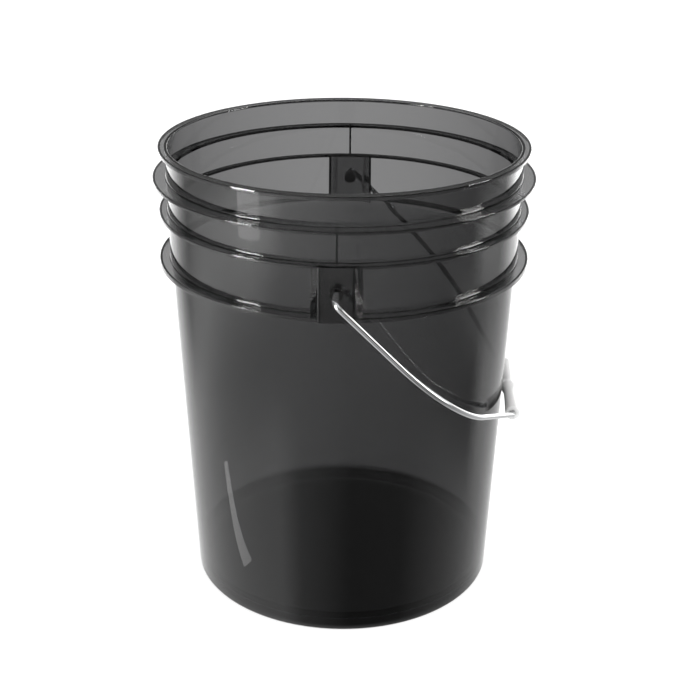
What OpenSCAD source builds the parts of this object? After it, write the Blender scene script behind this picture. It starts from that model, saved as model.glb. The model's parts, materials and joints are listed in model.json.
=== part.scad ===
// Round wash bucket of about 19 litres, with a wire bail and a plastic grip.
// The bucket's axis is Z and it stands on z = 0. The bail hinges about a line
// along Y, and is drawn hanging on the +X side with its grip against the wall.

/* [Bucket] */
// Overall height
height = 372; // [340:1:400]
// Wall thickness
wall = 2.3; // [1.8:0.1:3]
// Outer radius at the foot
foot_r = 126.5; // [124:0.1:128]
// Outer radius just under the lowest ring
shoulder_r = 138.8; // [138:0.1:139.4]
// Outer radius of the neck just above the lowest ring
neck_low_r = 139.9; // [139.6:0.1:140.4]
// Outer radius of the neck at the top
neck_top_r = 140.9; // [140.6:0.1:141.4]

/* [Floor and foot] */
// Height of the floor's upper face
floor_z = 13; // [10:0.5:20]
// Thickness of the floor
floor_t = 3; // [2:0.1:4]
// Radius of the round between the floor and the wall, inside
floor_round = 5; // [2:0.5:8]
// Thickness of the foot ring
foot_t = 3; // [2.4:0.1:5]
// Rounding of the foot ring's outer edge
foot_round = 1.5; // [0.5:0.1:2]

/* [Rim and rings] */
// Outer radius of the rim, over which a lid snaps
rim_r = 146.2; // [144:0.1:149]
// Height of the rim's outer face
rim_t = 3.3; // [2.5:0.1:5]
// Outer radius of each ring, lowest first
ring_r = [148.3, 147.1, 151.2]; // [145:0.1:155]
// Height of each ring's upper face, lowest first
ring_z = [282.2, 321.4, 348.1]; // [270:0.1:350]
// Height of each ring's outer edge, lowest first
ring_t = [4, 2.7, 2.6]; // [2:0.1:5]
// Chamfer on the edges of the rim and rings
edge_c = 0.5; // [0.2:0.1:0.6]
// Thickness of the flat part of the rim and rings
plate_t = 1.5; // [1.2:0.1:2]
// Thickness of the lip that hangs from their outer edges
lip_t = 1.6; // [1.3:0.1:2]

/* [Ears] */
// Width of the ear's flat outer face
ear_w = 26; // [20:0.5:32]
// How much wider each side of the ear is where it meets the wall
ear_flare = 6.4; // [3:0.1:8]
// Distance of the ear's outer face from the bucket's axis
ear_y = 148.3; // [147:0.1:149]
// Thickness of the ear's plates
ear_t = 2.4; // [2:0.1:3]
// Outer diameter of the boss that the bail turns in
boss_d = 10; // [8:0.5:14]
// How far the boss stands out of the ear's face
boss_out = 1.5; // [0.5:0.1:3]
// Thickness of the rib above each ear
rib_t = 1.8; // [1.2:0.1:3]

/* [Bail] */
// Diameter of the wire
wire_d = 4.4; // [3.8:0.1:5]
// Radial clearance of the wire in the boss
wire_gap = 0.08; // [0.03:0.01:0.1]
// Height of the hinge line
hinge_z = 300.8; // [298:0.1:303]
// Distance of each leg from the middle
leg_y = 169.5; // [165:0.5:180]
// Radius of the elbow beside the ear
elbow_r = 6; // [5:0.5:8]
// Where the straight part of the leg ends, below the hinge line
leg_end = 60; // [40:1:80]
// Radius of the bail's big bends
bend_r = 114; // [90:1:120]
// Angle that the big bends turn
bend_turn = 57.5; // [50:0.5:62]
// Radius of the small bends beside the grip
kink_r = 8; // [6:1:12]
// Angle between the hanging bail and straight down
hang = 45; // [44.8:0.1:60]

/* [Grip] */
// Length of the grip
grip_l = 98; // [80:1:110]
// Diameter of the grip's end collars
grip_d = 11.8; // [9:0.1:12]
// Diameter of the ridge round the grip's middle
grip_ridge_d = 12.2; // [9:0.1:12.2]
// Diameter of the grip's waists
grip_waist_d = 9.4; // [8:0.1:10.5]
// Radial clearance of the wire in the grip
grip_gap = 0.1; // [0.03:0.01:0.1]

/* [Hidden] */
$fn = 180;
inside_r = foot_r - foot_t;
// The bends are a hair thicker than the straight wire, which laps into them
lap = 0.1;
bend_d = wire_d + 0.04;
wall_slope = (shoulder_r - foot_r) / ring_z[0];
ear_top = ring_z[1] - plate_t;
ear_bottom = ring_z[0] - ring_t[0];
boss_y = ear_y + boss_out;
pin_tip_y = neck_low_r + 1.9;
bore_end_y = pin_tip_y - 0.4;
// The big bend ends at (bend_y, bend_z), and the wire then runs straight to the grip
bend_y = -leg_y + bend_r * (1 - cos(bend_turn));
bend_z = -leg_end - bend_r * sin(bend_turn);
// and turns through a small bend that starts just outside the grip
kink_angle = 90 - bend_turn;
kink_back = kink_r * tan(kink_angle / 2);
kink_y = -grip_l / 2 - 0.3;
kink_corner_y = kink_y - kink_back;
grip_drop = -bend_z + (kink_corner_y - bend_y) * tan(kink_angle);
kink_start_y = kink_corner_y - kink_back * cos(kink_angle);
kink_start_z = -grip_drop + kink_back * sin(kink_angle);

// Points of an arc about (x, y), from angle a to angle b
function arc(x, y, r, a, b, steps = 6) =
    [for (i = [0 : steps]) let (t = a + (b - a) * i / steps) [x + r * cos(t), y + r * sin(t)]];

// Outer radius of the tapered wall, and of the neck above the lowest ring
function body_r(z) = foot_r + wall_slope * z;
function neck_r(z) = neck_low_r
    + (neck_top_r - neck_low_r) * (z - ring_z[0]) / (height - ring_z[0]);

// Outline of a ring, a flat plate with a lip, from its lower root to its upper root
function ring_edge(r, top, t, root_low, root_top) = [
    [root_low, top - plate_t],
    [r - lip_t, top - plate_t],
    [r - lip_t, top - t],
    [r - edge_c, top - t],
    [r, top - t + edge_c],
    [r, top - edge_c],
    [r - edge_c, top],
    [root_top, top]
];

module shell_section() {
    polygon(concat(
        [[0, floor_z - floor_t], [inside_r, floor_z - floor_t], [inside_r, 0]],
        arc(foot_r - foot_round, foot_round, foot_round, -90, 0),
        ring_edge(ring_r[0], ring_z[0], ring_t[0],
            body_r(ring_z[0] - plate_t), neck_r(ring_z[0])),
        ring_edge(ring_r[1], ring_z[1], ring_t[1], neck_r(ear_top), neck_r(ring_z[1])),
        ring_edge(ring_r[2], ring_z[2], ring_t[2],
            neck_r(ring_z[2] - plate_t), neck_r(ring_z[2])),
        ring_edge(rim_r, height, rim_t, neck_r(height - plate_t), neck_r(height) - wall),
        [[neck_r(ring_z[0]) - wall, ring_z[0] + 2],
         [body_r(ear_bottom) - wall, ear_bottom - 2]],
        arc(body_r(floor_z) - wall - floor_round, floor_z + floor_round, floor_round, 0, -90),
        [[0, floor_z]]
    ));
}

// What the wall fills out to, without rings: the ear's pocket stops at it
module wall_solid() {
    rotate_extrude()
        polygon([[0, 0], [foot_r, 0], [body_r(ear_bottom), ear_bottom],
                 [neck_r(ring_z[0]), ring_z[0]], [neck_r(height), height], [0, height]]);
}

// Plan of one ear on the +Y side, drawn in by d all round
module ear_plan(d) {
    root_y = neck_low_r - wall + 0.6;
    half = ear_w / 2 - d * 0.7;
    polygon([[-half - ear_flare, root_y], [-half, ear_y - d], [half, ear_y - d],
             [half + ear_flare, root_y]]);
}

module ear_block() {
    translate([0, 0, ear_bottom])
        linear_extrude(ear_top - ear_bottom + 0.7) ear_plan(0);
    translate([-rib_t / 2, neck_low_r - 1, ring_z[1] - 0.7])
        cube([rib_t, ring_r[1] - neck_low_r + 1, ring_z[2] - plate_t - ring_z[1] + 1.4]);
}

module ear_pocket() {
    difference() {
        translate([0, 0, ear_bottom - 1])
            linear_extrude(ear_top - ear_bottom + 1) ear_plan(ear_t);
        wall_solid();
    }
}

// A rod along +Y at the hinge height, from y0 to y1
module hinge_rod(y0, y1, d) {
    translate([0, y0, hinge_z]) rotate([-90, 0, 0]) cylinder(d = d, h = y1 - y0);
}

module on_both_sides() {
    children();
    mirror([0, 1, 0]) children();
}

module bucket() {
    color([0.13, 0.13, 0.14, 0.6])
    difference() {
        union() {
            difference() {
                union() {
                    rotate_extrude() shell_section();
                    on_both_sides() ear_block();
                }
                on_both_sides() ear_pocket();
            }
            on_both_sides() hinge_rod(neck_low_r - 1, boss_y, boss_d);
            // Gate mark under the floor
            translate([0, 0, floor_z - floor_t - 0.6]) cylinder(r = 4, h = 1);
        }
        on_both_sides() hinge_rod(bore_end_y, boss_y + 1, wire_d + 2 * wire_gap);
    }
}

// Straight wire in the YZ plane from (y0, z0) to (y1, z1), lapping into a bend at each end
module wire_run(y0, z0, y1, z1) {
    translate([0, y0, z0])
        rotate([atan2(y0 - y1, z1 - z0), 0, 0])
            translate([0, 0, -lap])
                cylinder(d = wire_d, h = norm([y1 - y0, z1 - z0]) + 2 * lap);
}

// Bent wire in the YZ plane about (y, z), from angle a through turn
module wire_bend(y, z, r, a, turn) {
    translate([0, y, z]) rotate([90, 0, 90]) rotate([0, 0, a])
        rotate_extrude(angle = turn, $fn = 96) translate([r, 0]) circle(d = bend_d, $fn = 36);
}

// One side of the bail hanging straight down from a hinge line at z = 0
module bail_side() {
    wire_run(-pin_tip_y - lap, 0, -leg_y + elbow_r, 0);
    wire_bend(-leg_y + elbow_r, -elbow_r, elbow_r, 90, 90);
    wire_run(-leg_y, -elbow_r, -leg_y, -leg_end);
    wire_bend(-leg_y + bend_r, -leg_end, bend_r, 180, bend_turn);
    wire_run(bend_y, bend_z, kink_start_y, kink_start_z);
    wire_bend(kink_y, -grip_drop + kink_r, kink_r, 180 + bend_turn, kink_angle);
}

// Puts what hangs straight down from z = 0 on the hinge line, leaning towards +X
module hung() {
    translate([0, 0, hinge_z]) rotate([0, -hang, 0]) children();
}

module bail() {
    color([0.78, 0.79, 0.8])
    hung() {
        on_both_sides() bail_side();
        wire_run(kink_y, -grip_drop, -kink_y, -grip_drop);
    }
}

module grip_section() {
    bore_r = wire_d / 2 + grip_gap;
    top_r = grip_d / 2;
    waist_r = grip_waist_d / 2;
    end = grip_l / 2;
    // From the ridge to the end collar, as radius and distance from the middle
    half = [[grip_ridge_d / 2, 1.5], [waist_r, 8], [waist_r, end - 31],
            [top_r, end - 3], [top_r, end - 1], [top_r - 1, end], [bore_r, end]];
    polygon(concat(half, [for (i = [len(half) - 1 : -1 : 0]) [half[i][0], -half[i][1]]]));
}

module grip() {
    color([0.93, 0.93, 0.91])
    hung() translate([0, 0, -grip_drop]) rotate([90, 0, 0]) rotate_extrude() grip_section();
}

bucket();
bail();
grip();
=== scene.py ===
"""A see-through wash bucket with a swinging wire bail and a plastic grip."""

import json
import math

import bmesh
import bpy
from bpy.props import (
    FloatProperty,
    FloatVectorProperty,
    IntProperty,
    PointerProperty,
)
from bpy.types import Operator, Panel, PropertyGroup
from mathutils import Euler, Matrix, Vector


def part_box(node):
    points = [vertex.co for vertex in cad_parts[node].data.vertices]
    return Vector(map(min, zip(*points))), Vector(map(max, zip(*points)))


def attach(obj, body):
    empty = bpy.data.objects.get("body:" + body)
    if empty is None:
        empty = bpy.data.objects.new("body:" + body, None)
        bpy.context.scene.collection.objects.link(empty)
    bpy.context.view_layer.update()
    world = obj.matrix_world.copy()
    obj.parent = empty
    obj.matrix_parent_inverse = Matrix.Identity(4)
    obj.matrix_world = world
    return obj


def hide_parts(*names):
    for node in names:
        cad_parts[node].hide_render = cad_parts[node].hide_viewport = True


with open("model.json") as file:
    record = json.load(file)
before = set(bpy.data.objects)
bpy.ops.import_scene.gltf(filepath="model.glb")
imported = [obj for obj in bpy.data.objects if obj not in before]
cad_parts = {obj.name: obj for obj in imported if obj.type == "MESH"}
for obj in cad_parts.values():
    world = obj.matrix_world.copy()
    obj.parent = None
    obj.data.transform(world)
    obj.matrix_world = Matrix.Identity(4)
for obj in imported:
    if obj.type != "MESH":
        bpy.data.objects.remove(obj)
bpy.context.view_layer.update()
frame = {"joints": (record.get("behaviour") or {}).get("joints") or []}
GRIP_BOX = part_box("grip")
HINGE = Vector(
    next(j["pos_m"] for j in frame["joints"] if j["name"] == "bail_swing")
)
GRIP_PLACE = Vector(
    next(j["pos_m"] for j in frame["joints"] if j["name"] == "grip_spin")
)

bl_info = {
    "name": "Wash Bucket",
    "version": (1, 0, 0),
    "blender": (4, 5, 0),
    "location": "View3D > Sidebar > Bucket",
    "description": "Builds a see-through wash bucket with a wire bail and a plastic grip",
    "category": "Add Mesh",
}


def length(name, description, default):
    """A size in metres that the sidebar shows as a length."""
    return FloatProperty(
        name=name,
        description=description,
        default=default,
        min=0.0,
        unit="LENGTH",
        subtype="DISTANCE",
        precision=4,
    )


class BucketShape(PropertyGroup):
    """Sizes of the moulded bucket."""

    height: length("Height", "Overall height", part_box("bucket")[1].z)
    wall: length("Wall", "Thickness of the wall", 0.0023)
    foot_radius: length("Foot radius", "Outer radius at the foot", 0.1265)
    shoulder_radius: length(
        "Shoulder radius", "Outer radius under the lowest ring", 0.1388
    )
    neck_low_radius: length(
        "Neck radius, low", "Outer radius above the lowest ring", 0.1399
    )
    neck_top_radius: length("Neck radius, top", "Outer radius under the rim", 0.1409)
    floor_top: length("Floor height", "Height of the floor's upper face", 0.013)
    floor_thickness: length("Floor thickness", "Thickness of the floor", 0.003)
    foot_thickness: length("Foot thickness", "Thickness of the foot ring", 0.003)
    rim_radius: length("Rim radius", "Outer radius of the rim", 0.1462)
    rim_thickness: length("Rim thickness", "Height of the rim's outer face", 0.0033)
    plate: length("Plate", "Thickness of the flat part of the rim and rings", 0.0015)
    lip: length("Lip", "Thickness of the lip at their outer edges", 0.0016)
    ring_radius: FloatVectorProperty(
        name="Ring radii",
        description="Outer radius of each ring, lowest first",
        default=(0.1483, 0.1471, 0.1512),
        unit="LENGTH",
    )
    ring_top: FloatVectorProperty(
        name="Ring heights",
        description="Height of each ring's upper face, lowest first",
        default=(0.2822, 0.3214, 0.3481),
        unit="LENGTH",
    )
    ring_thickness: FloatVectorProperty(
        name="Ring edges",
        description="Height of each ring's outer edge, lowest first",
        default=(0.004, 0.0027, 0.0026),
        unit="LENGTH",
    )
    ear_width: length("Ear width", "Width of the ear's flat face", 0.026)
    ear_flare: length("Ear flare", "Extra width of each side at the wall", 0.0064)
    ear_reach: length("Ear reach", "Distance of the ear's face from the axis", 0.14835)
    ear_plate: length("Ear plate", "Thickness of the ear's plates", 0.0024)
    boss_radius: length("Boss radius", "Outer radius of the bail's boss", 0.005)
    boss_proud: length("Boss height", "How far the boss stands out", 0.0014)
    rib: length("Rib", "Thickness of the rib above each ear", 0.0018)
    steps: IntProperty(
        name="Steps", description="Faces round the bucket", default=288, min=48
    )


class BucketLook(PropertyGroup):
    """Colours of the see-through plastic."""

    surface: FloatVectorProperty(
        name="Surface",
        description="Tint that light picks up at each face",
        default=(0.96, 0.96, 0.96),
        subtype="COLOR",
        min=0.0,
        max=1.0,
    )
    smoke: FloatVectorProperty(
        name="Smoke",
        description="Colour that the plastic lets through",
        default=(0.03, 0.03, 0.035),
        subtype="COLOR",
        min=0.0,
        max=1.0,
    )
    density: FloatProperty(
        name="Smoke density",
        description="How fast light fades in the plastic, per metre",
        default=700.0,
        min=0.0,
    )


class BailShape(PropertyGroup):
    """Sizes and colour of the wire bail."""

    radius: length("Wire radius", "Radius of the wire", 0.0022)
    tip: length("Tip", "Distance of each wire end from the middle", 0.1418)
    leg: length("Leg", "Distance of each leg from the middle", 0.1695)
    elbow_radius: length("Elbow radius", "Radius of the bend beside the ear", 0.006)
    leg_end: length("Leg end", "Where the straight leg ends, below the hinge", 0.06)
    bend_radius: length("Bend radius", "Radius of the big bends", 0.114)
    bend_turn: FloatProperty(
        name="Bend turn",
        description="Angle that the big bends turn",
        default=math.radians(57.5),
        subtype="ANGLE",
    )
    kink_radius: length("Kink radius", "Radius of the bends beside the grip", 0.008)
    kink_corner: length("Kink corner", "Distance of these bends' corners", 0.05163)
    hang: FloatProperty(
        name="Hang",
        description="Angle between the bail and straight down",
        default=math.atan2(GRIP_PLACE.x, HINGE.z - GRIP_PLACE.z),
        subtype="ANGLE",
    )
    metal: FloatVectorProperty(
        name="Metal",
        description="Colour of the bright wire",
        default=(0.5, 0.505, 0.51),
        subtype="COLOR",
        min=0.0,
        max=1.0,
    )


class GripShape(PropertyGroup):
    """Sizes and colour of the plastic grip."""

    length: length("Length", "Length of the grip", GRIP_BOX[1].y - GRIP_BOX[0].y)
    collar_radius: length("Collar radius", "Radius of the end collars", 0.00588)
    ridge_radius: length("Ridge radius", "Radius of the ridge in the middle", 0.00608)
    waist_radius: length("Waist radius", "Radius of the waists", 0.0047)
    bore_radius: length("Bore radius", "Radius of the hole for the wire", 0.0023)
    plastic: FloatVectorProperty(
        name="Plastic",
        description="Colour of the grip",
        default=(0.87, 0.87, 0.86),
        subtype="COLOR",
        min=0.0,
        max=1.0,
    )


class StageLook(PropertyGroup):
    """The floor, the lights and the camera."""

    camera_distance: length("Camera distance", "Level distance to the axis", 1.0442)
    camera_height: length("Camera height", "Height of the camera", 0.6529)
    camera_turn: FloatProperty(
        name="Camera turn",
        description="How far the camera stands to the right of the front ear",
        default=math.radians(2.07),
        subtype="ANGLE",
    )
    camera_dip: FloatProperty(
        name="Camera dip",
        description="How far down the camera looks",
        default=0.4154,
        subtype="ANGLE",
    )
    camera_roll: FloatProperty(
        name="Camera roll",
        description="How far the camera leans",
        default=0.0061,
        subtype="ANGLE",
    )
    lens: FloatProperty(
        name="Lens", description="Focal length in millimetres", default=69.9
    )
    shift: FloatProperty(
        name="Shift", description="Sideways shift of the lens", default=0.0095
    )
    glow: FloatProperty(
        name="Floor glow", description="Light of the floor itself", default=0.92
    )


# How far joined parts run into each other, and how loosely the wire sits in the ears
OVERLAP = 0.0007
WIRE_GAP = 0.00008
# Fewer faces than this mean that the bucket's shell has been lost
FEWEST_FACES = 10000
# Distances from the axis where the painted shadow under the bucket starts to lift, and
# where the floor glows fully
FLOOR_SHADOW_EDGE = (0.118, 0.128)
# How bright the studio looks in reflections: the upward part of the direction that
# they come from, then (angle, tone) all round, with the angle in degrees to the right
# of the front.
SURROUNDINGS = (
    (-0.56, (
        (-180, 1.1), (-46, 1.1), (-30, 0.5), (8, 0.13), (48, 0.15), (75, 0.4),
        (130, 0.8), (180, 1.1),
    )),
    (-0.48, (
        (-180, 1.1), (-112, 1.1), (-60, 0.6), (8, 0.1), (104, 0.1), (118, 0.8),
        (180, 1.1),
    )),
    (-0.39, (
        (-180, 1.2), (-142, 1.1), (-125, 0.5), (-100, 1.6), (-60, 1.5), (-40, 0.6),
        (10, 0.3), (70, 0.1), (100, 0.6), (180, 1.2),
    )),
    (-0.325, (
        (-180, 1.8), (-142, 1.6), (-118, 0.5), (-60, 3.3), (-47, 3.0), (-36, 1.4),
        (10, 0.45), (92, 0.2), (106, 1.5), (122, 0.8), (142, 1.7), (180, 1.8),
    )),
    (-0.3, (
        (-180, 2.5), (-140, 2.5), (-118, 0.6), (-60, 1.5), (-47, 1.5), (10, 0.5),
        (90, 0.2), (126, 0.9), (142, 3.5), (180, 2.5),
    )),
)
BRIGHTEST = 4.0
# The dark above the horizon, and the glow straight overhead
DOME_TONE = 0.08
ZENITH_GLOW = 1.3
# Heights at which the cards get brighter, and by how much
LEFT_GLOW = ((0.0, 4.5), (0.11, 26.0))
RIGHT_GLOW = ((0.13, 11.0),)
STREAK_GLOW = ((-1.0, 2.6),)

# Modelling helpers


def deselect():
    """Leaves nothing selected."""
    bpy.ops.object.select_all(action="DESELECT")


def activate(piece):
    """Makes one object the only selected one, and the active one."""
    deselect()
    piece.select_set(True)
    bpy.context.view_layer.objects.active = piece


def named(name):
    """Names the object that an operator has just added."""
    piece = bpy.context.object
    piece.name = name
    piece.data.name = name
    return piece


def apply_place(piece):
    """Moves an object's place, turn and scale into its mesh."""
    activate(piece)
    bpy.ops.object.transform_apply(location=True, rotation=True, scale=True)


def pick(piece, kind, test):
    """In edit mode, selects the verts, edges or faces whose middle passes the test."""
    bpy.ops.mesh.select_mode(type={"verts": "VERT", "edges": "EDGE"}.get(kind, "FACE"))
    bpy.ops.mesh.select_all(action="DESELECT")
    mesh = bmesh.from_edit_mesh(piece.data)
    for part in getattr(mesh, kind):
        if kind == "verts":
            middle = part.co
        else:
            middle = sum((v.co for v in part.verts), Vector()) / len(part.verts)
        part.select_set(bool(test(middle)))
    mesh.select_flush_mode()
    bmesh.update_edit_mesh(piece.data)


def outline(name, points):
    """A chain of edges through points given as (radius, height), left in edit mode."""
    deselect()
    bpy.ops.mesh.primitive_plane_add(size=0.001)
    piece = named(name)
    bpy.ops.object.mode_set(mode="EDIT")
    bpy.ops.mesh.select_mode(type="VERT")
    bpy.ops.mesh.select_all(action="SELECT")
    bpy.ops.mesh.merge(type="CENTER")
    bpy.ops.transform.translate(value=(points[0][0], 0, points[0][1]))
    for (x0, z0), (x1, z1) in zip(points, points[1:]):
        bpy.ops.mesh.extrude_region_move(
            TRANSFORM_OT_translate={"value": (x1 - x0, 0, z1 - z0)}
        )
    return piece


def round_corners(piece, corners, size, segments):
    """Rounds the outline's corners that lie at the given (radius, height) points."""

    def chosen(co):
        return any(math.hypot(co.x - x, co.z - z) < 2e-5 for x, z in corners)

    pick(piece, "verts", chosen)
    bpy.ops.mesh.bevel(
        offset=size, offset_pct=0, segments=segments, affect="VERTICES", profile=0.5
    )


def turn_round(piece, steps):
    """Spins the outline about the Z axis into a closed body."""
    bpy.ops.mesh.select_all(action="SELECT")
    bpy.ops.mesh.spin(
        steps=steps,
        angle=2 * math.pi,
        use_auto_merge=True,
        center=(0, 0, 0),
        axis=(0, 0, 1),
    )
    bpy.ops.mesh.select_all(action="SELECT")
    bpy.ops.mesh.remove_doubles(threshold=1e-6)
    bpy.ops.mesh.normals_make_consistent(inside=False)
    bpy.ops.object.mode_set(mode="OBJECT")


def combine(piece, tool, operation):
    """Joins the tool to the piece, or cuts it out, and removes the tool."""
    activate(piece)
    bpy.ops.object.modifier_add(type="BOOLEAN")
    modifier = piece.modifiers[-1]
    modifier.operation = operation
    modifier.solver = "EXACT"
    modifier.object = tool
    bpy.ops.object.modifier_apply(modifier=modifier.name)
    activate(tool)
    bpy.ops.object.delete()


def both_sides(piece):
    """Adds the same shape half a turn round the bucket."""
    activate(piece)
    bpy.ops.object.duplicate()
    other = bpy.context.object
    other.rotation_euler = (0, 0, math.pi)
    apply_place(other)
    deselect()
    other.select_set(True)
    piece.select_set(True)
    bpy.context.view_layer.objects.active = piece
    bpy.ops.object.join()
    return piece


def finish_surface(piece, angle):
    """Smooth shading, with the large faces keeping their true direction."""
    activate(piece)
    bpy.ops.object.shade_smooth_by_angle(angle=angle, keep_sharp_edges=False)
    bpy.ops.object.modifier_add(type="WEIGHTED_NORMAL")
    modifier = piece.modifiers[-1]
    modifier.keep_sharp = True
    modifier.weight = 100
    bpy.ops.object.modifier_apply(modifier=modifier.name)


def place_piece(piece, material, node, body):
    """Gives a finished piece its material and its body, and hides the node that it stands
    for.
    """
    piece.data.materials.clear()
    piece.data.materials.append(material)
    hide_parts(node)
    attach(piece, body)


# Materials


class Nodes:
    """The nodes of a material or of the world, made and linked by name."""

    def __init__(self, owner):
        owner.use_nodes = True
        self.tree = owner.node_tree
        self.tree.nodes.clear()

    def add(self, kind, inputs=None, **settings):
        """Adds a node with its settings and unlinked inputs."""
        node = self.tree.nodes.new(kind)
        for key, value in settings.items():
            setattr(node, key, value)
        for key, value in (inputs or {}).items():
            node.inputs[key].default_value = value
        return node

    def link(self, source, output, target, socket):
        """Joins one node's output to another's input."""
        self.tree.links.new(source.outputs[output], target.inputs[socket])

    def math(self, operation, source, output, value):
        """Works on a node's output with a number, or with another node's output."""
        node = self.add("ShaderNodeMath", operation=operation)
        self.link(source, output, node, 0)
        if isinstance(value, tuple):
            self.link(*value, node, 1)
        else:
            node.inputs[1].default_value = value
        return node

    def ramp(self, source, output, start, end, low=0.0, high=1.0, smooth=True):
        """Goes from low to high as a node's output goes from start to end."""
        limits = {"From Min": start, "From Max": end, "To Min": low, "To Max": high}
        node = self.add("ShaderNodeMapRange", limits)
        if smooth:
            node.interpolation_type = "SMOOTHSTEP"
        self.link(source, output, node, "Value")
        return node

    def split_place(self, output):
        """The three parts of the place or the direction that is being shaded."""
        place = self.add("ShaderNodeTexCoord")
        parts = self.add("ShaderNodeSeparateXYZ")
        self.link(place, output, parts, "Vector")
        return parts


class Shader(Nodes):
    """A new material with a surface that its functions fill in."""

    def __init__(self, name):
        self.material = bpy.data.materials.new(name)
        super().__init__(self.material)
        self.output = self.add("ShaderNodeOutputMaterial")
        self.surface = self.add("ShaderNodeBsdfPrincipled")
        self.link(self.surface, "BSDF", self.output, "Surface")

    def noise(self, scale, detail, stretch=(1, 1, 1)):
        """A noise that follows the object, stretched along its axes."""
        place = self.add("ShaderNodeTexCoord")
        mapping = self.add("ShaderNodeMapping", {"Scale": stretch})
        noise = self.add("ShaderNodeTexNoise", {"Scale": scale, "Detail": detail})
        self.link(place, "Object", mapping, "Vector")
        self.link(mapping, "Vector", noise, "Vector")
        return noise

    def spread(self, source, low, high, socket):
        """Drives a surface value from a noise, between two limits."""
        node = self.ramp(source, "Fac", 0.0, 1.0, low, high, smooth=False)
        self.link(node, "Result", self.surface, socket)

    def mottle(self, source, colour, share):
        """Gives the surface its colour, down to a share of it where a noise is low."""
        dark = [part * share for part in colour]
        tone = self.add(
            "ShaderNodeMix", {6: (*dark, 1), 7: (*colour, 1)}, data_type="RGBA"
        )
        self.link(source, "Fac", tone, 0)
        self.link(tone, 2, self.surface, "Base Color")

    def bump(self, source, depth, strength):
        """Raises the surface a little from a noise."""
        node = self.add("ShaderNodeBump", {"Strength": strength, "Distance": depth})
        self.link(source, "Fac", node, "Height")
        self.link(node, "Normal", self.surface, "Normal")

    def set(self, **values):
        """Sets the surface's own values. An underscore stands for a space."""
        for key, value in values.items():
            self.surface.inputs[key.replace("_", " ")].default_value = value


def smoked_plastic(look):
    """Clear plastic with a dark tint that deepens with thickness."""
    shader = Shader("smoked_plastic")
    shader.set(
        Base_Color=(*look.surface, 1),
        Transmission_Weight=1.0,
        IOR=1.49,
    )
    flow = shader.noise(14, 3, stretch=(1, 1, 0.35))
    shader.spread(flow, 0.0, 0.03, "Roughness")
    ripple = shader.noise(9, 2, stretch=(1, 1, 0.4))
    shader.bump(ripple, 0.0006, 0.25)
    smoke = shader.add(
        "ShaderNodeVolumeAbsorption",
        {"Color": (*look.smoke, 1), "Density": look.density},
    )
    shader.link(smoke, "Volume", shader.output, "Volume")
    return shader.material


def bright_wire(look):
    """Galvanised wire, drawn smooth, with a faint grain."""
    shader = Shader("bright_wire")
    shader.set(Metallic=0.85)
    grain = shader.noise(300, 4)
    shader.mottle(grain, look.metal, 0.9)
    shader.spread(grain, 0.07, 0.15, "Roughness")
    shader.bump(shader.noise(1500, 3), 0.00004, 0.3)
    return shader.material


def white_plastic(look):
    """Soft white plastic with a satin skin."""
    shader = Shader("white_plastic")
    cloud = shader.noise(120, 3)
    shader.mottle(cloud, look.plastic, 0.96)
    shader.spread(cloud, 0.32, 0.46, "Roughness")
    shader.set(
        Subsurface_Weight=0.7,
        Subsurface_Scale=0.01,
        Subsurface_Radius=(1, 1, 1),
    )
    shader.bump(shader.noise(700, 3), 0.00005, 0.3)
    return shader.material


# Pieces


def body_radius(shape, z):
    """Outer radius of the tapered wall at a height."""
    rise = (shape.shoulder_radius - shape.foot_radius) / shape.ring_top[0]
    return shape.foot_radius + rise * z


def neck_radius(shape, z):
    """Outer radius of the neck at a height."""
    share = (z - shape.ring_top[0]) / (shape.height - shape.ring_top[0])
    return shape.neck_low_radius + share * (
        shape.neck_top_radius - shape.neck_low_radius
    )


def make_shell(shape):
    """The wall, floor, foot, rings and rim, spun from one outline."""
    low = shape.floor_top - shape.floor_thickness
    inner_foot = shape.foot_radius - shape.foot_thickness
    foot = [(inner_foot, low), (inner_foot, 0), (shape.foot_radius, 0)]
    points = [(0, low), *foot]
    edges, roots, under = [], [], []
    bands = [
        *zip(shape.ring_radius, shape.ring_top, shape.ring_thickness),
        (shape.rim_radius, shape.height, shape.rim_thickness),
    ]
    for r, top, t in bands:
        wall_radius = neck_radius if top > shape.ring_top[0] else body_radius
        inner = shape.wall if top == shape.height else 0
        ring = [
            (wall_radius(shape, top - shape.plate), top - shape.plate),
            (r - shape.lip, top - shape.plate),
            (r - shape.lip, top - t),
            (r, top - t),
            (r, top),
            (neck_radius(shape, top) - inner, top),
        ]
        points += ring
        under += ring[:3]
        edges += ring[3:5]
        if not inner:
            roots.append(ring[5])
    z = shape.ring_top[0]
    step = [
        (neck_radius(shape, z) - shape.wall, z + 0.002),
        (body_radius(shape, z - 0.006) - shape.wall, z - 0.006),
    ]
    corner = (body_radius(shape, shape.floor_top) - shape.wall, shape.floor_top)
    points += [*step, corner, (0, shape.floor_top)]
    shell = outline("bucket_shell", points)
    round_corners(shell, [corner], 0.005, 6)
    round_corners(shell, step, 0.002, 3)
    round_corners(shell, [foot[2]], 0.0015, 4)
    round_corners(shell, foot[:2], 0.0008, 3)
    round_corners(shell, edges, 0.0006, 4)
    round_corners(shell, [points[-5]], 0.0011, 5)
    round_corners(shell, roots, 0.0012, 4)
    round_corners(shell, under, 0.0004, 3)
    turn_round(shell, shape.steps)
    return shell


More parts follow.
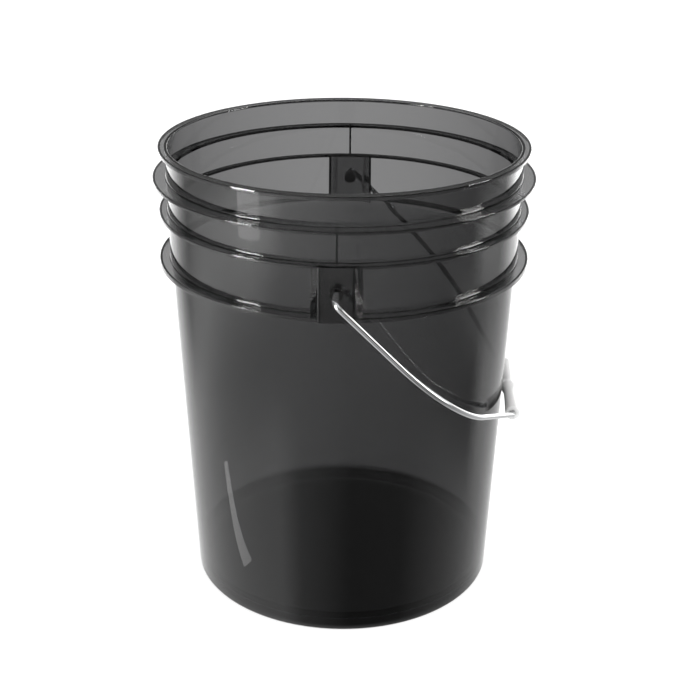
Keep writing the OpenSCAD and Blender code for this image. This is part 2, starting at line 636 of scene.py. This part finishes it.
def make_ear_block(shape, inset, low, high, name):
    """A block as wide as an ear in plan, drawn in by an inset, on the +Y side."""
    reach = shape.ear_reach - inset
    root = shape.neck_low_radius - shape.wall + 0.0006
    narrow = shape.ear_width - 1.4 * inset
    wide = narrow + 2 * shape.ear_flare
    deselect()
    bpy.ops.mesh.primitive_cube_add(
        size=1,
        location=(0, (root + reach) / 2, (low + high) / 2),
        scale=(wide, reach - root, high - low),
    )
    block = named(name)
    apply_place(block)
    bpy.ops.object.mode_set(mode="EDIT")
    pick(block, "faces", lambda co: co.y > reach - 1e-5)
    bpy.ops.transform.resize(value=(narrow / wide, 1, 1), center_override=(0, 0, 0))
    pick(
        block,
        "edges",
        lambda co: co.y > reach - 1e-5 and abs(abs(co.x) - narrow / 2) < 1e-5,
    )
    bpy.ops.mesh.bevel(offset=0.0009 if inset == 0 else 0.0005, segments=4)
    bpy.ops.object.mode_set(mode="OBJECT")
    return block


def make_wall_solid(shape):
    """What the wall fills out to without its rings, to hold the pockets off it."""
    z = shape.ring_top[0]
    edge = z - shape.ring_thickness[0]
    low, high = z - 0.03, z + 0.06
    points = [
        (0, low),
        (body_radius(shape, low), low),
        (body_radius(shape, edge), edge),
        (neck_radius(shape, z), z),
        (neck_radius(shape, high), high),
        (0, high),
    ]
    solid = outline("wall_solid", points)
    turn_round(solid, shape.steps)
    return solid


def make_hinge_rod(radius, start, end, name, rounding=0):
    """A round rod along +Y on the hinge line, with its outer edge rounded."""
    deselect()
    bpy.ops.mesh.primitive_cylinder_add(
        vertices=64,
        radius=radius,
        depth=end - start,
        location=(0, (start + end) / 2, HINGE.z),
        rotation=(math.pi / 2, 0, 0),
    )
    rod = named(name)
    apply_place(rod)
    if rounding:
        bpy.ops.object.mode_set(mode="EDIT")
        pick(rod, "edges", lambda co: co.y > end - 1e-5)
        bpy.ops.mesh.bevel(offset=rounding, segments=4)
        bpy.ops.object.mode_set(mode="OBJECT")
    return rod


def make_rib(shape):
    """The thin upright rib between the two upper rings, on the +Y side."""
    low = shape.ring_top[1] - OVERLAP
    high = shape.ring_top[2] - shape.plate + OVERLAP
    root = shape.neck_low_radius - 0.001
    reach = shape.ring_radius[1] - 0.0001
    deselect()
    bpy.ops.mesh.primitive_cube_add(
        size=1,
        location=(0, (root + reach) / 2, (low + high) / 2),
        scale=(shape.rib, reach - root, high - low),
    )
    rib = named("rib")
    apply_place(rib)
    bpy.ops.object.mode_set(mode="EDIT")
    pick(rib, "edges", lambda co: co.y > reach - 1e-5 and abs(co.x) > shape.rib / 3)
    bpy.ops.mesh.bevel(offset=0.0004, segments=3)
    bpy.ops.object.mode_set(mode="OBJECT")
    return rib


class BUCKET_OT_body(Operator):
    """Builds the bucket: wall, floor, foot, rings, rim, ears, bosses and ribs."""

    bl_idname = "wash_bucket.body"
    bl_label = "Bucket"

    def execute(self, context):
        shape = context.scene.bucket_shape
        ear_low = shape.ring_top[0] - shape.ring_thickness[0] - 0.0002
        ear_high = shape.ring_top[1] - shape.plate
        shell = make_shell(shape)
        ear = make_ear_block(shape, 0, ear_low, ear_high + OVERLAP, "ears")
        combine(shell, both_sides(ear), "UNION")
        combine(shell, both_sides(make_rib(shape)), "UNION")
        pocket = make_ear_block(
            shape, shape.ear_plate, ear_low - 0.002, ear_high, "pockets"
        )
        combine(pocket, make_wall_solid(shape), "DIFFERENCE")
        combine(shell, both_sides(pocket), "DIFFERENCE")
        face = shape.ear_reach + shape.boss_proud
        boss = make_hinge_rod(
            shape.boss_radius, shape.neck_low_radius - 0.001, face, "bosses", 0.0006
        )
        combine(shell, both_sides(boss), "UNION")
        wire = context.scene.bail_shape
        bore = make_hinge_rod(
            wire.radius + WIRE_GAP, wire.tip - 0.0004, face + 0.001, "bores"
        )
        combine(shell, both_sides(bore), "DIFFERENCE")
        shell.name = "bucket_body"
        finish_surface(shell, math.radians(32))
        if len(shell.data.polygons) < FEWEST_FACES:
            raise RuntimeError("the bucket lost its shell while its ears were joined")
        place_piece(
            shell,
            smoked_plastic(context.scene.bucket_look),
            "bucket",
            "bucket_body",
        )
        return {"FINISHED"}


def draw_run(step):
    """Draws the selected wire end straight on by a step in the YZ plane."""
    bpy.ops.mesh.extrude_region_move(TRANSFORM_OT_translate={"value": (0, *step)})


def draw_bend(centre, turn, steps):
    """Bends the selected wire end about a centre in the YZ plane."""
    bpy.ops.mesh.spin(steps=steps, angle=-turn, center=(0, *centre), axis=(1, 0, 0))


class BUCKET_OT_bail(Operator):
    """Draws and bends the wire bail from one ear to the other."""

    bl_idname = "wash_bucket.bail"
    bl_label = "Wire bail"

    def execute(self, context):
        s = context.scene.bail_shape
        kink = math.pi / 2 - s.bend_turn
        bend_end = Vector(
            (
                -s.leg + s.bend_radius * (1 - math.cos(s.bend_turn)),
                -s.leg_end - s.bend_radius * math.sin(s.bend_turn),
            )
        )
        drop = -bend_end.y + (-s.kink_corner - bend_end.x) * math.tan(kink)
        back = s.kink_radius * math.tan(kink / 2)
        kink_start = Vector(
            (-s.kink_corner - back * math.cos(kink), -drop + back * math.sin(kink))
        )
        kink_y = -s.kink_corner + back
        slope = kink_start - bend_end
        deselect()
        bpy.ops.mesh.primitive_circle_add(
            vertices=32,
            radius=s.radius,
            fill_type="NGON",
            location=(0, -s.tip, 0),
            rotation=(math.pi / 2, 0, 0),
        )
        bail = named("bail_wire")
        apply_place(bail)
        bpy.ops.object.mode_set(mode="EDIT")
        bpy.ops.mesh.select_mode(type="FACE")
        bpy.ops.mesh.select_all(action="SELECT")
        draw_run((-s.leg + s.elbow_radius + s.tip, 0))
        draw_bend((-s.leg + s.elbow_radius, -s.elbow_radius), math.pi / 2, 14)
        draw_run((0, s.elbow_radius - s.leg_end))
        draw_bend((-s.leg + s.bend_radius, -s.leg_end), s.bend_turn, 36)
        draw_run(slope)
        draw_bend((kink_y, -drop + s.kink_radius), kink, 10)
        draw_run((-2 * kink_y, 0))
        draw_bend((-kink_y, -drop + s.kink_radius), kink, 10)
        draw_run((slope.x, -slope.y))
        draw_bend((s.leg - s.bend_radius, -s.leg_end), s.bend_turn, 36)
        draw_run((0, s.leg_end - s.elbow_radius))
        draw_bend((s.leg - s.elbow_radius, -s.elbow_radius), math.pi / 2, 14)
        draw_run((-s.leg + s.elbow_radius + s.tip, 0))
        bpy.ops.mesh.select_all(action="SELECT")
        bpy.ops.mesh.remove_doubles(threshold=1e-6)
        bpy.ops.mesh.normals_make_consistent(inside=False)
        pick(bail, "edges", lambda co: abs(abs(co.y) - s.tip) < 1e-6)
        bpy.ops.mesh.bevel(offset=0.0005, segments=3)
        bpy.ops.object.mode_set(mode="OBJECT")
        bail.rotation_euler = (0, -s.hang, 0)
        bail.location = HINGE
        apply_place(bail)
        finish_surface(bail, math.radians(40))
        place_piece(bail, bright_wire(s), "bail", "bail_body")
        return {"FINISHED"}


class BUCKET_OT_grip(Operator):
    """Turns the plastic grip that the bail's wire runs through."""

    bl_idname = "wash_bucket.grip"
    bl_label = "Grip"

    def execute(self, context):
        s = context.scene.grip_shape
        end = s.length / 2
        half = [
            (s.ridge_radius, 0.0015),
            (s.waist_radius, 0.008),
            (s.waist_radius, end - 0.031),
            (s.collar_radius, end - 0.003),
            (s.collar_radius, end),
            (s.bore_radius, end),
        ]
        points = [(r, -z) for r, z in reversed(half)] + half
        grip = outline("grip_tube", [*points, points[0]])
        bpy.ops.mesh.select_all(action="SELECT")
        bpy.ops.mesh.remove_doubles(threshold=1e-6)
        for (r, z), size, segments in zip(
            half, (0.0008, 0.003, 0.006, 0.001, 0.0008), (3, 5, 5, 3, 5)
        ):
            round_corners(grip, [(r, z), (r, -z)], size, segments)
        turn_round(grip, 72)
        grip.rotation_euler = (math.pi / 2, 0, 0)
        grip.location = GRIP_PLACE
        apply_place(grip)
        finish_surface(grip, math.radians(50))
        place_piece(grip, white_plastic(s), "grip", "grip_body")
        return {"FINISHED"}


def make_floor(glow):
    """A wide pale floor that glows evenly, with a painted shadow where the bucket stands
    on it.
    """
    deselect()
    bpy.ops.mesh.primitive_circle_add(
        vertices=96, radius=12, fill_type="NGON", location=(0, 0, -0.0002)
    )
    floor = named("studio_floor")
    apply_place(floor)
    shader = Shader("pale_floor")
    shader.set(Base_Color=(0.25, 0.25, 0.25, 1), Roughness=1.0)
    shader.surface.inputs["Emission Color"].default_value = (1, 1, 1, 1)
    place = shader.add("ShaderNodeTexCoord")
    reach = shader.add("ShaderNodeVectorMath", operation="LENGTH")
    shader.link(place, "Object", reach, "Vector")
    # No glow under the bucket, rising towards its foot: a painted shadow
    shadow_fade = shader.ramp(reach, "Value", *FLOOR_SHADOW_EDGE, 0.0, glow, smooth=False)
    shader.link(shadow_fade, "Result", shader.surface, "Emission Strength")
    floor.data.materials.append(shader.material)
    floor.visible_glossy = False


def ring_of_tones(nodes, turn, stops):
    """The tones all round at one height, blended between their angles."""
    ring = nodes.add("ShaderNodeValToRGB")
    nodes.link(turn, "Result", ring, "Fac")
    marks = ring.color_ramp.elements
    for index, (angle, tone) in enumerate(stops):
        if 0 < index < len(stops) - 1:
            mark = marks.new(angle / 360 + 0.5)
        else:
            mark = marks[-1 if index else 0]
        mark.color = (*[tone / BRIGHTEST] * 3, 1)
    return ring


def make_world():
    """A white studio that has darker walls where glossy faces mirror it."""
    world = bpy.data.worlds.new("studio")
    bpy.context.scene.world = world
    nodes = Nodes(world)
    output = nodes.add("ShaderNodeOutputWorld")
    shade = nodes.add("ShaderNodeBackground")
    nodes.link(shade, "Background", output, "Surface")
    split = nodes.split_place("Generated")
    # Angle from the front, with the whole turn as 0 to 1
    ahead = nodes.math("MULTIPLY", split, "Y", -1.0)
    angle = nodes.math("ARCTAN2", split, "X", (ahead, 0))
    turn = nodes.ramp(angle, 0, -math.pi, math.pi, smooth=False)
    mirrored, last = None, 0
    for rise, stops in SURROUNDINGS:
        ring = ring_of_tones(nodes, turn, stops)
        if mirrored is None:
            mirrored = (ring, 0)
        else:
            height = nodes.ramp(split, "Z", last, rise)
            blend = nodes.add("ShaderNodeMix", data_type="RGBA")
            nodes.link(height, "Result", blend, 0)
            nodes.link(*mirrored, blend, 6)
            nodes.link(ring, 0, blend, 7)
            mirrored = (blend, 2)
        last = rise
    # Dark above the horizon, with a soft glow overhead
    dome = nodes.ramp(split, "Z", 0.02, 0.22, BRIGHTEST, DOME_TONE * BRIGHTEST)
    walls = nodes.math("MULTIPLY", *mirrored, (dome, "Result"))
    zenith = nodes.ramp(split, "Z", 0.55, 0.9, 0.0, ZENITH_GLOW)
    toned = nodes.math("ADD", walls, 0, (zenith, "Result"))
    # and plain white everywhere but in reflections
    path = nodes.add("ShaderNodeLightPath")
    seen = nodes.math("MAXIMUM", path, "Is Camera Ray", (path, "Is Transmission Ray"))
    white = nodes.math("MAXIMUM", seen, 0, (path, "Is Diffuse Ray"))
    tone = nodes.add("ShaderNodeMix", {3: 1.0})
    nodes.link(white, 0, tone, 0)
    nodes.link(toned, 0, tone, 2)
    nodes.link(tone, 0, shade, "Color")


def make_card(name, place, rotation, size, stops):
    """A glowing card that is seen only in reflections."""
    deselect()
    bpy.ops.mesh.primitive_plane_add(size=1, location=place, rotation=rotation)
    card = named(name)
    card.scale = (*size, 1)
    apply_place(card)
    shader = Shader(name)
    shader.tree.nodes.remove(shader.surface)
    glow = shader.add("ShaderNodeEmission")
    shader.link(glow, "Emission", shader.output, "Surface")
    split = shader.split_place("Object")
    # The glow rises in steps with height
    total = None
    for height, gain in stops:
        step = shader.ramp(split, "Z", height - 0.01, height + 0.01, 0.0, gain)
        total = step if total is None else shader.math("ADD", total, 0, (step, 0))
    shader.link(total, 0, glow, "Strength")
    card.data.materials.append(shader.material)
    card.visible_camera = False
    card.visible_diffuse = False
    card.visible_transmission = False
    card.visible_shadow = False


def make_upright_card(name, turn, distance, size, low, stops):
    """A card standing round the bucket, turned from the front."""
    place = (
        distance * math.sin(turn),
        -distance * math.cos(turn),
        low + size[1] / 2,
    )
    make_card(name, place, (math.pi / 2, 0, turn), size, stops)


def make_overhead(height, size, power):
    """A wide soft light above, which the glossy faces don't mirror."""
    deselect()
    bpy.ops.object.light_add(type="AREA", location=(0.35, -0.1, height))
    lamp = bpy.context.object
    lamp.name = "overhead_softbox"
    lamp.data.name = lamp.name
    lamp.data.shape = "DISK"
    lamp.data.size = size
    lamp.data.energy = power
    lamp.visible_camera = False
    lamp.visible_glossy = False
    lamp.visible_transmission = False


class BUCKET_OT_stage(Operator):
    """Sets out the pale floor, the soft lights and the camera."""

    bl_idname = "wash_bucket.stage"
    bl_label = "Stage"

    def execute(self, context):
        s = context.scene.stage_look
        make_floor(s.glow)
        make_world()
        make_upright_card(
            "left_card", math.radians(-56), 1.0, (0.26, 0.95), 0.01, LEFT_GLOW
        )
        make_upright_card(
            "right_card", math.radians(84), 1.2, (0.38, 0.9), 0.11, RIGHT_GLOW
        )
        make_card(
            "streak_card",
            (-0.222, -0.1, 0.001),
            (0, 0, math.radians(-12.8)),
            (0.18, 0.018),
            STREAK_GLOW,
        )
        make_overhead(1.5, 1.2, 6)
        deselect()
        bpy.ops.object.camera_add()
        camera = bpy.context.object
        camera.name = "front_camera"
        camera.data.sensor_width = 36
        camera.data.lens = s.lens
        camera.data.shift_x = s.shift
        camera.data.clip_end = 50
        stand = Matrix.Translation(
            (
                s.camera_distance * math.sin(s.camera_turn),
                -s.camera_distance * math.cos(s.camera_turn),
                s.camera_height,
            )
        )
        aim = Euler((math.pi / 2 - s.camera_dip, 0, s.camera_turn)).to_matrix()
        lean = Matrix.Rotation(s.camera_roll, 4, "Z")
        camera.matrix_world = stand @ aim.to_4x4() @ lean
        context.scene.camera = camera
        context.scene.view_settings.view_transform = "Standard"
        return {"FINISHED"}


class BUCKET_PT_panel(Panel):
    """Lists the bucket's steps and sizes in the sidebar."""

    bl_idname = "BUCKET_PT_panel"
    bl_label = "Wash Bucket"
    bl_space_type = "VIEW_3D"
    bl_region_type = "UI"
    bl_category = "Bucket"

    def draw(self, context):
        scene = context.scene
        for operator, settings in STEPS:
            self.layout.operator(operator.bl_idname)
            for name in settings:
                column = self.layout.column()
                group = getattr(scene, name)
                for key in group.__annotations__:
                    column.prop(group, key)


GROUPS = {
    "bucket_shape": BucketShape,
    "bucket_look": BucketLook,
    "bail_shape": BailShape,
    "grip_shape": GripShape,
    "stage_look": StageLook,
}
STEPS = (
    (BUCKET_OT_body, ("bucket_shape", "bucket_look")),
    (BUCKET_OT_bail, ("bail_shape",)),
    (BUCKET_OT_grip, ("grip_shape",)),
    (BUCKET_OT_stage, ("stage_look",)),
)


def register():
    """Adds the settings, the operators and the panel."""
    for name, group in GROUPS.items():
        bpy.utils.register_class(group)
        setattr(bpy.types.Scene, name, PointerProperty(type=group))
    for operator, _ in STEPS:
        bpy.utils.register_class(operator)
    bpy.utils.register_class(BUCKET_PT_panel)


def unregister():
    """Takes them away again."""
    bpy.utils.unregister_class(BUCKET_PT_panel)
    for operator, _ in reversed(STEPS):
        bpy.utils.unregister_class(operator)
    for name, group in reversed(GROUPS.items()):
        delattr(bpy.types.Scene, name)
        bpy.utils.unregister_class(group)


def main():
    """Builds every piece and the stage."""
    register()
    bpy.ops.wash_bucket.body()
    bpy.ops.wash_bucket.bail()
    bpy.ops.wash_bucket.grip()
    bpy.ops.wash_bucket.stage()


if __name__ == "__main__":
    main()
